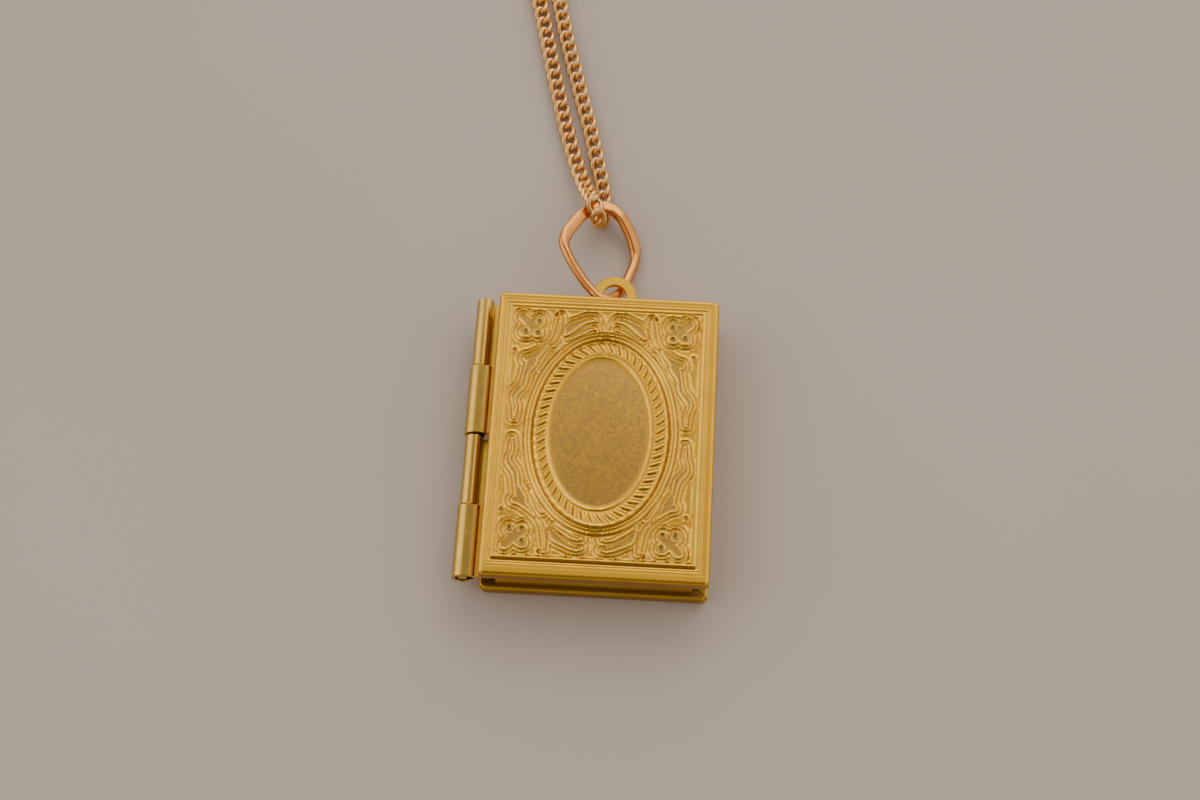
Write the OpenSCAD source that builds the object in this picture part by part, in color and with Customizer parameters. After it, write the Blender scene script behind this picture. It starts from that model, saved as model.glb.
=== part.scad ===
// Book locket: two stamped brass covers hinged like a book, a loop tab, a bent bail and a curb chain.
// Lengths are in millimetres. The origin is the middle of the back face, +Y points to the loop
// and +Z points up out of the front cover. The case lies shut on its back.

/* [Case] */
// Width of the covers, hinge to fore edge
case_w = 19; // [18.5:0.5:20]
// Length of the covers, loop end to foot
case_l = 26; // [25.5:0.5:27]
// Thickness of the shut case over the stamped lines
case_t = 5; // [5:0.1:5.4]
// Thickness of the brass sheet
sheet = 0.3; // [0.25:0.05:0.35]
// Radius of the cover corners seen from the front
corner_r = 0.5; // [0.3:0.1:0.8]
// Height of the plain band round each cover
band_h = 1.3; // [1.1:0.1:1.4]
// Depth of the page recess behind the bands
recess = 0.5; // [0.4:0.1:0.6]
// Width of the open corners of the page recess
corner_gap = 0.8; // [0.6:0.1:1]
// Air between the two halves when shut
shut_gap = 0.08; // [0.06:0.02:0.12]
// Bevel along the outer edges of the covers
edge_bevel = 0.25; // [0.15:0.05:0.25]

/* [Stamped front] */
// Height of the stamped lines over the ground
relief_h = 0.2; // [0.15:0.05:0.2]
// Height of the plain margin over the ground
margin_h = 0.1; // [0.05:0.05:0.1]
// Number of strands in the rope round the oval
rope_strands = 52; // [40:2:60]
// Lean of a rope strand away from the radius
rope_lean = 32; // [20:2:40]

/* [Hinge] */
// Distance of the hinge axis from the edge of the covers
hinge_out = 1.35; // [1.25:0.05:1.5]
// Number of knuckles
knuckles = 4; // [4:2:6]
// Radius of a knuckle on the back cover
back_knuckle_r = 0.75; // [0.75:0.05:0.8]
// Radius of a knuckle on the front cover
front_knuckle_r = 0.9; // [0.8:0.05:0.9]
// Radius of the hinge pin
pin_r = 0.4; // [0.35:0.05:0.4]
// Running clearance round the pin
pin_clearance = 0.05; // [0.03:0.01:0.05]
// Air between neighbouring knuckles
knuckle_gap = 0.1; // [0.08:0.02:0.14]

/* [Loop tab and bail] */
// Outer radius of the loop tab
loop_r = 2.05; // [2:0.05:2.1]
// Radius of the hole in the loop tab
loop_hole_r = 1.05; // [1.05:0.05:1.1]
// Thickness of the loop tab
loop_t = 0.4; // [0.3:0.05:0.4]
// Width of the bail's strip across its face
bail_w = 0.88; // [0.8:0.02:0.88]
// Thickness of the bail's strip
bail_t = 0.76; // [0.7:0.02:0.76]

/* [Chain and clasp] */
// Width of the curb chain
chain_w = 1.5; // [1.4:0.05:1.5]
// Thickness of the curb chain
chain_t = 1; // [0.9:0.05:1]
// Radius of the clasp ring to the middle of its tube
clasp_r = 2.6; // [2.4:0.1:2.8]
// Radius of the clasp tube
clasp_tube_r = 0.7; // [0.6:0.05:0.7]

/* [Hidden] */
brass = "goldenrod";
copper = "peru";
pale_copper = "burlywood";
round_fn = 48;
end_fn = 24;
end_share = 0.96;

// Levels of the shut case
ground_z = case_t - relief_h;
part_z = ground_z / 2;
axis_z = case_t / 2;
axis_x = -case_w / 2 - hinge_out;
bore_r = pin_r + pin_clearance;
wall_in = recess + sheet;

// Hinge: the knuckles nearly fill the length of the covers, counted from the loop end
hinge_short = 0.2;
hinge_l = case_l - hinge_short;
hinge_mid_y = 0.15;
knuckle_pitch = hinge_l / knuckles;
leaf_end_x = -case_w / 2 + recess + sheet / 2;
pin_inset = 0.15;

// Loop tab
loop_x = 0.35;
loop_out = 1.33;
loop_z = 2.15;
loop_neck_w = 2.4;

// Stamped pattern: middle, half sizes of the framed panel and of the ovals
pattern_x = -0.09;
pattern_y = 0.25;
panel_half = [8.3, 11.75];
bead_w = 0.3;
bead_step = 0.45;
oval_sides = 72;
rail_outer = [6.35, 9.25];
rail_inner = [5.85, 8.75];
rope_mid = [5.0, 7.8];
lip_oval = [4.5, 7.2];
rail_w = 0.35;
lip_w = 0.2;
strand_w = 0.32;
strand_l = 1;
rope_evening = 5;
sunk = 0.1;
dimple_r = 0.22;
stud_r = 0.25;

// Corner flower of one quarter, measured from the middle of the pattern: x, y, radius
flower = [
  [-6.85, -9.0, 0.62],
  [-5.85, -9.05, 0.62],
  [-5.8, -10.05, 0.62],
  [-7.1, -10.4, 0.6],
  [-6.45, -9.65, 0.7]
];
flower_dimples = [[-6.85, -9.0], [-5.85, -9.05], [-5.8, -10.05]];
flower_rim = 0.42;
flower_rim_w = 0.16;
studs = [[-7.7, -7.4], [-4.35, -10.95]];

// Leaf scrolls of one quarter: width, then the middle line's points x, y
scrolls = [
  [0.42, [[-7.3, -0.7], [-7.35, -1.5], [-7.65, -2.6], [-7.6, -3.3], [-7.1, -4.1], [-6.85, -5.2],
    [-6.8, -6.4]]],
  [0.3, [[-6.85, -1.2], [-6.8, -2.2], [-6.75, -3.1], [-6.4, -4.0], [-6.15, -5.0], [-5.8, -5.9],
    [-5.2, -6.8]]],
  [0.42, [[-6.6, -6.8], [-5.9, -7.1], [-5.3, -7.6], [-4.6, -8.2], [-4.1, -9.0], [-3.9, -9.9]]],
  [0.42, [[-3.7, -10.15], [-2.95, -10.05], [-2.3, -10.35], [-1.5, -10.65], [-0.8, -10.6]]],
  [0.3, [[-3.9, -8.3], [-3.1, -9.1], [-2.2, -9.4], [-1.6, -9.8], [-0.9, -9.85]]]
];

// Middle line of the bail's wire: x, y, z, from the loop's hole round by the left side
bail_route = [
  [0.3, 14.3, 2.2],
  [-0.3, 13.75, 2.75],
  [-0.95, 13.75, 3.0],
  [-1.7, 14.4, 3.1],
  [-2.9, 15.8, 3.45],
  [-3.9, 17.35, 3.8],
  [-4.35, 18.5, 3.9],
  [-4.2, 19.5, 3.75],
  [-3.7, 20.6, 3.4],
  [-3.05, 21.85, 2.95],
  [-2.15, 22.85, 2.4],
  [-1.2, 23.4, 2.05],
  [-0.3, 23.3, 1.75],
  [0.5, 22.7, 1.5],
  [1.15, 21.7, 1.15],
  [1.7, 20.55, 0.8],
  [1.95, 19.5, 0.6],
  [1.85, 18.4, 0.65],
  [1.5, 17.1, 0.95],
  [1.05, 15.6, 1.3]
];
bail_normal = [0.45, 0.07, 0.89];
bail_sides = 12;
bail_rings = 3;

// Middle line of the chain: x, y, z, rings up to the next point
chain_route = [
  [-18.2, 206, 0.55, 1],
  [-24, 205, 0.55, 2],
  [-38, 199, 0.55, 3],
  [-53, 183, 0.55, 3],
  [-60, 160, 0.55, 3],
  [-59, 136, 0.55, 3],
  [-51, 112, 0.55, 3],
  [-37, 90, 0.55, 3],
  [-23, 72, 0.55, 2],
  [-14.5, 60, 0.55, 2],
  [-9.8, 51, 0.55, 1],
  [-8.6, 46.7, 0.55, 2],
  [-5.9, 35.6, 0.55, 1],
  [-4.75, 31.3, 0.55, 1],
  [-3.9, 28.6, 0.65, 1],
  [-3.1, 26.3, 1.2, 1],
  [-2.45, 24.4, 2.4, 1],
  [-1.95, 23.0, 3.45, 2],
  [-1.6, 22.0, 3.05, 2],
  [-1.4, 21.75, 2.1, 2],
  [-1.25, 22.05, 1.2, 2],
  [-1.15, 23.0, 0.85, 1],
  [-1.15, 24.5, 0.65, 1],
  [-1.35, 26.2, 0.55, 1],
  [-2.1, 29.35, 0.55, 1],
  [-2.6, 31.5, 0.55, 1],
  [-3.8, 35.7, 0.55, 2],
  [-6.65, 46.8, 0.55, 1],
  [-7.4, 51, 0.55, 2],
  [-6.5, 60, 0.55, 2],
  [-1, 72, 0.55, 3],
  [11, 90, 0.55, 3],
  [25, 112, 0.55, 3],
  [33, 136, 0.55, 3],
  [34, 160, 0.55, 3],
  [27, 183, 0.55, 3],
  [12, 199, 0.55, 2],
  [-2, 205, 0.55, 1],
  [-7.8, 206, 0.55, 1]
];
chain_sides = 8;
clasp_at = [-13, 206];
clasp_eye_r = 0.85;
clasp_eye_tube_r = 0.35;
clasp_eye_sunk = 0.6;
clasp_eye_out = clasp_r + clasp_tube_r + clasp_eye_r + clasp_eye_tube_r - clasp_eye_sunk;

// Curves through hand-set points

function unit(v) = v / norm(v);

// Direction at point i, the nearer neighbour counting more; a looped route has no ends
function heading(p, i, looped) =
  let (
    n = len(p),
    a = p[looped ? (i + n - 1) % n : max(i - 1, 0)],
    b = p[i],
    c = p[looped ? (i + 1) % n : min(i + 1, n - 1)],
    before = norm(b - a),
    after = norm(c - b)
  )
  before == 0 ? (c - b) / after :
  after == 0 ? (b - a) / before :
  ((b - a) * after / before + (c - b) * before / after) / (before + after);

// Point at share t of the way from point i to the next
function curve_point(p, i, t, looped) =
  let (
    j = (i + 1) % len(p),
    reach = norm(p[j] - p[i]),
    start = heading(p, i, looped) * reach,
    finish = heading(p, j, looped) * reach
  )
  p[i] * (2 * t * t * t - 3 * t * t + 1) + start * (t * t * t - 2 * t * t + t)
  + p[j] * (3 * t * t - 2 * t * t * t) + finish * (t * t * t - t * t);

// A vector made square to the direction d
function squared(v, d) = unit(v - d * (v * d));

// Direction of a row of middle points at ring i
function run(m, i, looped) =
  let (n = len(m))
  looped ? unit(m[(i + 1) % n] - m[(i + n - 1) % n])
  : unit(m[min(i + 1, n - 1)] - m[max(i - 1, 0)]);

// Solid with an oval section: m are middle points, s the side direction and f the face direction
// of each ring, half the half sizes along them
module swept(m, s, f, half, sides, looped) {
  n = len(m);
  points = [
    for (i = [0:n - 1], k = [0:sides - 1])
      let (a = 360 * (k + 0.5) / sides)
      m[i] + s[i] * half[0] * cos(a) + f[i] * half[1] * sin(a)
  ];
  spans = looped ? n : n - 1;
  skin = [
    for (i = [0:spans - 1], k = [0:sides - 1])
      let (
        a = i * sides + k,
        b = i * sides + (k + 1) % sides,
        c = ((i + 1) % n) * sides + (k + 1) % sides,
        d = ((i + 1) % n) * sides + k
      )
      each [[a, b, c], [a, c, d]]
  ];
  first_cap = [for (k = [1:sides - 2]) [0, k + 1, k]];
  last = (n - 1) * sides;
  last_cap = [for (k = [1:sides - 2]) [last, last + k, last + k + 1]];
  polyhedron(points, looped ? skin : concat(skin, first_cap, last_cap));
}

// Flat outlines

// Plan of a cover, drawn in by the given amount
module cover_plan(inset, r) {
  w = case_w - 2 * inset;
  l = case_l - 2 * inset;
  union() {
    square([w - 2 * r, l], center = true);
    square([w, l - 2 * r], center = true);
    for (x = [-1, 1], y = [-1, 1]) {
      translate([x * (w / 2 - r), y * (l / 2 - r)])
        circle(r = r, $fn = round_fn);
    }
  }
}

module oval_plan(half) {
  polygon([
    for (k = [0:oval_sides - 1])
      let (a = 360 * k / oval_sides)
      [half[0] * cos(a), half[1] * sin(a)]
  ]);
}

// Side direction of a flat line at its point i
function flat_side(p, i) = let (d = heading(p, i, false)) [-d[1], d[0]] / norm(d);

// Closed outline of a stroke of even width along the points p, with ends rounded a little narrower
module stroke_plan(p, width) {
  n = len(p);
  left = [for (i = [0:n - 1]) p[i] + flat_side(p, i) * width / 2];
  right = [for (i = [n - 1:-1:0]) p[i] - flat_side(p, i) * width / 2];
  polygon(concat(left, right));
  for (i = [0, n - 1]) {
    translate(p[i])
      circle(r = end_share * width / 2, $fn = end_fn);
  }
}

// Stamped pattern

// Anything drawn flat, raised on the ground by the given height
module raised(height) {
  translate([0, 0, ground_z - sunk])
    linear_extrude(sunk + height)
      children();
}

module oval_rail(half, width) {
  raised(relief_h)
    difference() {
      oval_plan(half);
      oval_plan([half[0] - width, half[1] - width]);
    }
}

module frame_line(grow, width) {
  raised(relief_h)
    difference() {
      square([2 * (panel_half[0] + grow), 2 * (panel_half[1] + grow)], center = true);
      square([2 * (panel_half[0] + grow - width), 2 * (panel_half[1] + grow - width)], center = true);
    }
}

module rope() {
  for (k = [0:rope_strands - 1]) {
    step = 360 * k / rope_strands;
    t = step - rope_evening * sin(2 * step);
    outward = atan2(sin(t) / rope_mid[1], cos(t) / rope_mid[0]);
    translate([rope_mid[0] * cos(t), rope_mid[1] * sin(t), ground_z - sunk])
      rotate([0, 0, outward - 90 + rope_lean])
        translate([-strand_w / 2, -strand_l / 2, 0])
          cube([strand_w, strand_l, sunk + relief_h]);
  }
}

module corner_flower() {
  difference() {
    union() {
      for (lobe = flower) {
        translate([lobe[0], lobe[1], ground_z - sunk])
          cylinder(r = lobe[2], h = sunk + relief_h, $fn = round_fn);
      }
    }
    for (d = flower_dimples) {
      translate([d[0], d[1], ground_z + relief_h / 2])
        cylinder(r = dimple_r, h = relief_h, $fn = round_fn);
    }
  }
  raised(relief_h / 2)
    difference() {
      flower_plan(flower_rim);
      flower_plan(flower_rim - flower_rim_w);
    }
}

module flower_plan(grow) {
  union() {
    for (lobe = flower) {
      translate([lobe[0], lobe[1]])
        circle(r = lobe[2] + grow, $fn = round_fn);
    }
  }
}

module pattern_quarter() {
  corner_flower();
  for (s = scrolls) {
    raised(relief_h)
      stroke_plan(s[1], s[0]);
  }
  for (d = studs) {
    translate([d[0], d[1], ground_z - sunk])
      cylinder(r = stud_r, h = sunk + relief_h, $fn = round_fn);
  }
}

module plain_margin() {
  raised(margin_h)
    difference() {
      cover_plan(edge_bevel, corner_r);
      translate([pattern_x, pattern_y])
        square([2 * (panel_half[0] + bead_w), 2 * (panel_half[1] + bead_w)], center = true);
    }
}

module stamped_pattern() {
  plain_margin();
  translate([pattern_x, pattern_y, 0]) {
    frame_line(bead_w, bead_w);
    frame_line(bead_w - bead_step, bead_w / 2);
    oval_rail(rail_outer, rail_w);
    oval_rail(rail_inner, rail_w);
    oval_rail(lip_oval, lip_w);
    rope();
    pattern_quarter();
    mirror([1, 0, 0]) pattern_quarter();
    mirror([0, 1, 0]) pattern_quarter();
    mirror([1, 0, 0]) mirror([0, 1, 0]) pattern_quarter();
  }
}

// Covers

// One shallow tray: outer face at z = 0, band round it, page wall standing back behind the band
module tray() {
  difference() {
    union() {
      linear_extrude(band_h)
        cover_plan(0, corner_r);
      linear_extrude(part_z - shut_gap / 2)
        cover_plan(recess, corner_r / 2);
    }
    translate([0, 0, sheet])
      linear_extrude(part_z)
        cover_plan(wall_in, corner_r / 2);
    for (x = [-1, 1], y = [-1, 1]) {
      translate([x * case_w / 2, y * case_l / 2, part_z + band_h])
        cube([2 * (recess + corner_gap), 2 * (recess + corner_gap), 2 * part_z], center = true);
    }
    bevel_cut();
  }
}

// What a bevel takes off round the outer face of a cover, which lies at z = 0
module bevel_cut() {
  depth = edge_bevel / sqrt(2);
  reach = 2 * edge_bevel;
  for (a = [0, 180]) {
    rotate([0, 0, a])
      translate([-case_w, -case_l / 2, 0])
        rotate([45, 0, 0])
          translate([0, -reach, -reach])
            cube([2 * case_w, reach + depth, 2 * reach]);
    rotate([0, 0, a])
      translate([-case_w / 2, -case_l, 0])
        rotate([0, -45, 0])
          translate([-reach, 0, -reach])
            cube([reach + depth, 2 * case_l, 2 * reach]);
  }
}

// Solid parts of the knuckles from number first on, every second one, with the leaf to the wall
module knuckle_row(first, r, leaf_low) {
  for (k = [first:2:knuckles - 1]) {
    top_y = hinge_mid_y + hinge_l / 2 - k * knuckle_pitch - knuckle_gap / 2;
    length = knuckle_pitch - knuckle_gap;
    translate([axis_x, top_y, axis_z])
      rotate([90, 0, 0])
        cylinder(r = r, h = length, $fn = round_fn);
    translate([axis_x, top_y - length, leaf_low])
      cube([leaf_end_x - axis_x, length, sheet]);
  }
}

module pin_bore() {
  translate([axis_x, hinge_mid_y + hinge_l, axis_z])
    rotate([90, 0, 0])
      cylinder(r = bore_r, h = 2 * hinge_l, $fn = round_fn);
}

module loop_tab() {
  difference() {
    union() {
      translate([loop_x, case_l / 2 + loop_out, loop_z - loop_t / 2])
        cylinder(r = loop_r, h = loop_t, $fn = round_fn);
      translate([loop_x - loop_neck_w / 2, case_l / 2 - recess - sheet / 2, loop_z - loop_t / 2])
        cube([loop_neck_w, loop_out, loop_t]);
    }
    translate([loop_x, case_l / 2 + loop_out, 0])
      cylinder(r = loop_hole_r, h = case_t, $fn = round_fn);
    translate([-case_w / 2, 0, 0])
      cube([case_w, case_l / 2 - recess - sheet / 2, case_t]);
  }
}

module back_cover() {
  color(brass) {
    difference() {
      union() {
        tray();
        knuckle_row(0, back_knuckle_r, axis_z - back_knuckle_r);
      }
      pin_bore();
    }
    loop_tab();
  }
}

module front_cover() {
  color(brass)
    difference() {
      union() {
        translate([0, 0, ground_z])
          mirror([0, 0, 1])
            tray();
        stamped_pattern();
        knuckle_row(1, front_knuckle_r, axis_z + front_knuckle_r - sheet);
      }
      pin_bore();
    }
}

module hinge_pin() {
  color(brass)
    translate([axis_x, hinge_mid_y + hinge_l / 2 - pin_inset, axis_z])
      rotate([90, 0, 0])
        cylinder(r = pin_r, h = hinge_l - 2 * pin_inset, $fn = round_fn);
}

// Bail and chain

module bail() {
  m = [
    for (i = [0:len(bail_route) - 1], k = [0:bail_rings - 1])
      curve_point(bail_route, i, k / bail_rings, true)
  ];
  f = [for (i = [0:len(m) - 1]) squared(bail_normal, run(m, i, true))];
  s = [for (i = [0:len(m) - 1]) cross(run(m, i, true), f[i])];
  color(copper)
    swept(m, s, f, [bail_w / 2, bail_t / 2], bail_sides, true);
}

module chain() {
  route = [for (p = chain_route) [p[0], p[1], p[2]]];
  last = len(route) - 1;
  m = concat(
    [
      for (i = [0:last - 1], k = [0:chain_route[i][3] - 1])
        curve_point(route, i, k / chain_route[i][3], false)
    ],
    [route[last]]
  );
  n = len(m);
  s = [
    for (i = 0, side = squared([0, 1, 0], run(m, 0, false)); i < n;
        i = i + 1, side = squared(side, run(m, min(i, n - 1), false)))
      side
  ];
  f = [for (i = [0:n - 1]) cross(s[i], run(m, i, false))];
  color(pale_copper)
    swept(m, s, f, [chain_w / 2, chain_t / 2], chain_sides, false);
}

module clasp() {
  color(pale_copper)
    translate([clasp_at[0], clasp_at[1], clasp_tube_r])
      union() {
        rotate_extrude($fn = round_fn)
          translate([clasp_r, 0])
            circle(r = clasp_tube_r, $fn = round_fn);
        for (x = [-1, 1]) {
          translate([x * clasp_eye_out, 0, 0])
            rotate_extrude($fn = round_fn)
              translate([clasp_eye_r, 0])
                circle(r = clasp_eye_tube_r, $fn = round_fn);
        }
      }
}

back_cover();
front_cover();
hinge_pin();
bail();
chain();
clasp();
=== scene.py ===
import math

import bpy
import numpy as np
from mathutils import Matrix, Vector


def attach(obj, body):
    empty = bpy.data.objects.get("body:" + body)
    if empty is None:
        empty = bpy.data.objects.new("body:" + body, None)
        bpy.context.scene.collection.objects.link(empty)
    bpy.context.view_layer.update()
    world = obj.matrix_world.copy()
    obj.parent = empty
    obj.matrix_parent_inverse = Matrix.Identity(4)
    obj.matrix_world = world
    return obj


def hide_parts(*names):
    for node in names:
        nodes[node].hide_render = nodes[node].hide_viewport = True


# Book locket: two stamped brass covers on a pin hinge, a loop tab, a bent bail, a curb chain and its
# clasp. Lengths are in millimetres, as in the CAD source, and become metres in place_mesh().

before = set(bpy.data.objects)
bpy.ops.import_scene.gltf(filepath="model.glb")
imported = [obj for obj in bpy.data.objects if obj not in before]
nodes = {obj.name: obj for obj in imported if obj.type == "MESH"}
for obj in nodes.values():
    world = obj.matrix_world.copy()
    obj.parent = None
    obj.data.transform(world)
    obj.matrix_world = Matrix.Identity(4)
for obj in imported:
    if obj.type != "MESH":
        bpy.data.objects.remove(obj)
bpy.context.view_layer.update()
MM = 0.001
SMOOTH_LIMIT = math.radians(38)

# Camera

CAMERA_PLACE = (3.865, -70.533, 166.691)
CAMERA_PITCH, CAMERA_ROLL, CAMERA_TURN = -24.490, -0.031, -3.177
LENS, SENSOR = 63.06, 36.0


def make_camera():
    """Camera at the photograph's place and angle."""
    data = bpy.data.cameras.new("camera")
    data.lens, data.sensor_width = LENS, SENSOR
    data.clip_start, data.clip_end = 0.005, 20
    camera = bpy.data.objects.new("camera", data)
    bpy.context.scene.collection.objects.link(camera)
    to_camera = (
        Matrix.Rotation(math.radians(CAMERA_ROLL), 3, "Y")
        @ Matrix.Rotation(math.radians(CAMERA_PITCH), 3, "X")
        @ Matrix.Rotation(math.radians(CAMERA_TURN), 3, "Z")
    )
    place = Matrix.Translation([MM * c for c in CAMERA_PLACE])
    camera.matrix_world = place @ to_camera.transposed().to_4x4()
    bpy.context.scene.camera = camera


make_camera()

# Case sizes, as in the CAD source

CASE_W, CASE_L, CASE_T = 19.0, 26.0, 5.0
SHEET = 0.3
CORNER_R = 0.5
BAND_H = 1.3
RECESS = 0.5
CORNER_GAP = 0.8
SHUT_GAP = 0.08
RELIEF_H = 0.2
MARGIN_H = 0.1
GROUND_Z = CASE_T - RELIEF_H
PART_Z = GROUND_Z / 2
WALL_IN = RECESS + SHEET

# Stamped front. It is charted in its lower left quarter and mirrored, with places measured from the
# pattern's middle. Knots are pairs: a distance out from a line, and the height or share there.

PATTERN_MIDDLE = (-0.09, 0.08)
FIELD_SHIFT, FIELD_SHEAR = -0.15, 0.006
FIELD_FROM_OVAL = [(1.5, 0), (1.75, 1)]
FIELD_TO_FRAME = [(-0.5, 1), (-0.3, 0)]
LINE_TOP = 0.17
LINE_STEPS = 6
LENGTH_GUARD, OVAL_GUARD = 1e-12, 1e-9

# Oval medallion with its lip, and the rails round it
OVAL = (5.05, 7.85)
OVAL_STEPS = 4001
SEARCH_START, SEARCH_ROUNDS = 0.7071, 6
RAIL_KNOTS = [
    (-0.9, 0.0), (-0.5, 0.05), (0.36, 0.05), (0.56, 0.12), (0.74, -0.04), (0.93, 0.12), (1.10, 0.02),
    (1.27, 0.13), (1.47, -0.03), (1.60, 0.05), (1.72, 0.0)]
LIP, LIP_SHIFT = (4.40, 7.02), (-0.16, 0.0)
LIP_FOOT = 0.17
LIP_KNOTS = [(-0.6, 0.03), (-0.17, 0.045), (0.0, 0.13), (LIP_FOOT, 0.0)]
DOME_H, DOME_EDGE = 0.19, -0.06
DOME_SHARE = [(-0.45, 1), (-0.1, 0)]

# Rope border: slots between the strands, each with ribs, a pit and a scallop beside it
STRANDS, STRAND_SLOPE, STRAND_START = 52, 0.65, 0.34
SLOT_DEPTH, SLOT_HALF_W = 0.10, 0.08
SLOT_SHARE = [(-0.48, 0), (-0.28, 1), (0.08, 1), (0.3, 0)]
RIB_H, RIB_AWAY, RIB_HALF_W = 0.05, 0.18, 0.12
RIB_SHARE = [(-0.55, 0), (-0.35, 1), (0.3, 1), (0.45, 0)]
PIT_DEPTH, PIT_OFFSET, PIT_R = 0.05, 0.25, 0.14
SCALLOP_H, SCALLOP_HALF_L, SCALLOP_OFFSET, SCALLOP_HALF_W = 0.05, 0.32, 0.5, 0.17

# Lined frame: half sizes of the rectangle that its lines follow, and the groove along its foot
FRAME_HALF = (8.5, 11.73)
FRAME_SHIFT_Y = 0.06
FRAME_KNOTS = [
    (-0.62, 0.0), (-0.42, 0.05), (-0.34, 0.02), (-0.16, 0.10), (0.02, 0.035), (0.2, 0.10), (0.34, 0.05),
    (0.42, 0.1), (0.5, 0.075), (0.57, 0.1), (0.64, 0.08), (0.72, 0.1)]
FOOT_DEPTH, FOOT_HALF_W, FOOT_INSET = 0.12, 0.2, 0.1

# Single lines of the quarter: half width, height, points
LINES = [
    (0.11, 0.08, [(-8.12, -8.3), (-8.12, -11.2)]),
    (0.12, 0.08, [(-8.08, -3.6), (-8.05, -4.5), (-8.05, -5.6), (-8.08, -7.0)]),
    (0.16, -0.05, [(-6.74, -4.1), (-6.66, -4.7), (-6.56, -5.3)]),
    (0.10, 0.06, [(0.0, -9.9), (0.0, -10.6)]),
]
# Dimples of the quarter: x, y, half width, half length
DIMPLES = [
    (-6.85, -9.06, 0.17, 0.23),
    (-5.8, -9.0, 0.2, 0.17),
    (-5.74, -10.1, 0.18, 0.18),
    (-4.25, -10.85, 0.17, 0.17),
    (-7.65, -7.35, 0.17, 0.17),
]
DIMPLE_KNOTS = [(-0.06, -0.10), (0.07, 0)]
DIMPLE_RING_H, DIMPLE_RING_OFFSET, DIMPLE_RING_HALF_W = 0.05, 0.12, 0.12
# Leaves and petals of the quarter: points of the middle line, with the half width at each
SIDE_LEAF = [
    (-7.26, -0.95, 0.1), (-7.26, -1.5, 0.18), (-7.25, -2.0, 0.2), (-7.41, -2.5, 0.2),
    (-7.45, -3.0, 0.26), (-7.18, -3.5, 0.28), (-6.8, -4.0, 0.28), (-6.62, -4.6, 0.28),
    (-6.54, -5.2, 0.26), (-6.31, -5.8, 0.38), (-6.09, -6.4, 0.5)]
SIDE_FOOT = [
    (-6.6, -6.5, 0.33), (-6.1, -6.6, 0.38), (-5.6, -7.05, 0.25), (-5.2, -7.45, 0.15),
    (-4.85, -7.85, 0.07)]
CROSSING_LEAF = [
    (-4.7, -8.05, 0.05), (-4.35, -8.45, 0.1), (-4.15, -9.0, 0.14), (-4.0, -9.6, 0.17),
    (-3.95, -10.1, 0.15), (-3.9, -10.6, 0.1)]
BOTTOM_LEAF = [
    (-3.42, -9.05, 0.22), (-3.1, -9.5, 0.4), (-2.7, -9.84, 0.36), (-2.25, -10.12, 0.29),
    (-1.79, -10.36, 0.26), (-1.22, -10.52, 0.22), (-0.82, -10.45, 0.13)]
SECOND_BOTTOM_LEAF = [
    (-3.25, -8.5, 0.14), (-2.8, -8.8, 0.2), (-2.2, -9.15, 0.22), (-1.7, -9.47, 0.22),
    (-1.2, -9.64, 0.18), (-0.84, -9.62, 0.11)]
INNER_LEAF = [
    (-5.36, -5.6, 0.05), (-5.0, -6.1, 0.1), (-4.71, -6.6, 0.15), (-4.46, -7.1, 0.18),
    (-4.26, -7.4, 0.14)]
PETALS = [
    [(-6.85, -9.08, 0.6), (-6.45, -9.6, 0.5)],
    [(-5.82, -9.08, 0.55), (-6.35, -9.6, 0.5)],
    [(-5.75, -10.15, 0.55), (-6.35, -9.8, 0.5)],
    [(-7.15, -10.45, 0.45), (-6.6, -9.9, 0.45)],
]
LEAVES = [SIDE_LEAF, SIDE_FOOT, CROSSING_LEAF, BOTTOM_LEAF, SECOND_BOTTOM_LEAF, INNER_LEAF, *PETALS]
LEAF_KNOTS = [
    (-0.34, 0.05), (-0.18, 0.055), (-0.05, 0.12), (0.09, -0.02), (0.17, -0.01), (0.28, 0.075),
    (0.4, -0.04), (0.5, -0.03), (0.61, 0.06), (0.76, 0.0)]
LEAF_SHARE = [(-0.16, 1), (-0.06, 0)]
LEAF_REACH, LEAF_FAR = 1.1, 9.0


def eased(value, knots):
    """Height at a value between the knots, level at each knot."""
    places, heights = np.array(knots).T
    k = np.clip(np.searchsorted(places, value) - 1, 0, len(places) - 2)
    share = np.clip((value - places[k]) / (places[k + 1] - places[k]), 0, 1)
    share = share * share * (3 - 2 * share)
    return heights[k] + share * (heights[k + 1] - heights[k])


def rounded_line(points):
    """The points joined by a Catmull-Rom curve."""
    p = np.array([points[0], *points, points[-1]], float)
    t = np.arange(LINE_STEPS)[:, None] / LINE_STEPS
    runs = [
        0.5 * (
            2 * b + (c - a) * t + (2 * a - 5 * b + 4 * c - d) * t ** 2
            + (3 * b - a - 3 * c + d) * t ** 3)
        for a, b, c, d in zip(p, p[1:], p[2:], p[3:])
    ]
    return np.vstack([*runs, p[-1:]])


def line_distance(x, y, points):
    """Distance from each place to a line of points, less the half width where points carry one."""
    nearest = np.full(x.shape, np.inf)
    for a, b in zip(points, points[1:]):
        step = b - a
        dx, dy = step[:2]
        t = np.clip(((x - a[0]) * dx + (y - a[1]) * dy) / (dx * dx + dy * dy + LENGTH_GUARD), 0, 1)
        away = np.hypot(x - a[0] - t * dx, y - a[1] - t * dy)
        if len(a) > 2:
            away = away - a[2] - t * step[2]
        nearest = np.minimum(nearest, away)
    return nearest


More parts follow.
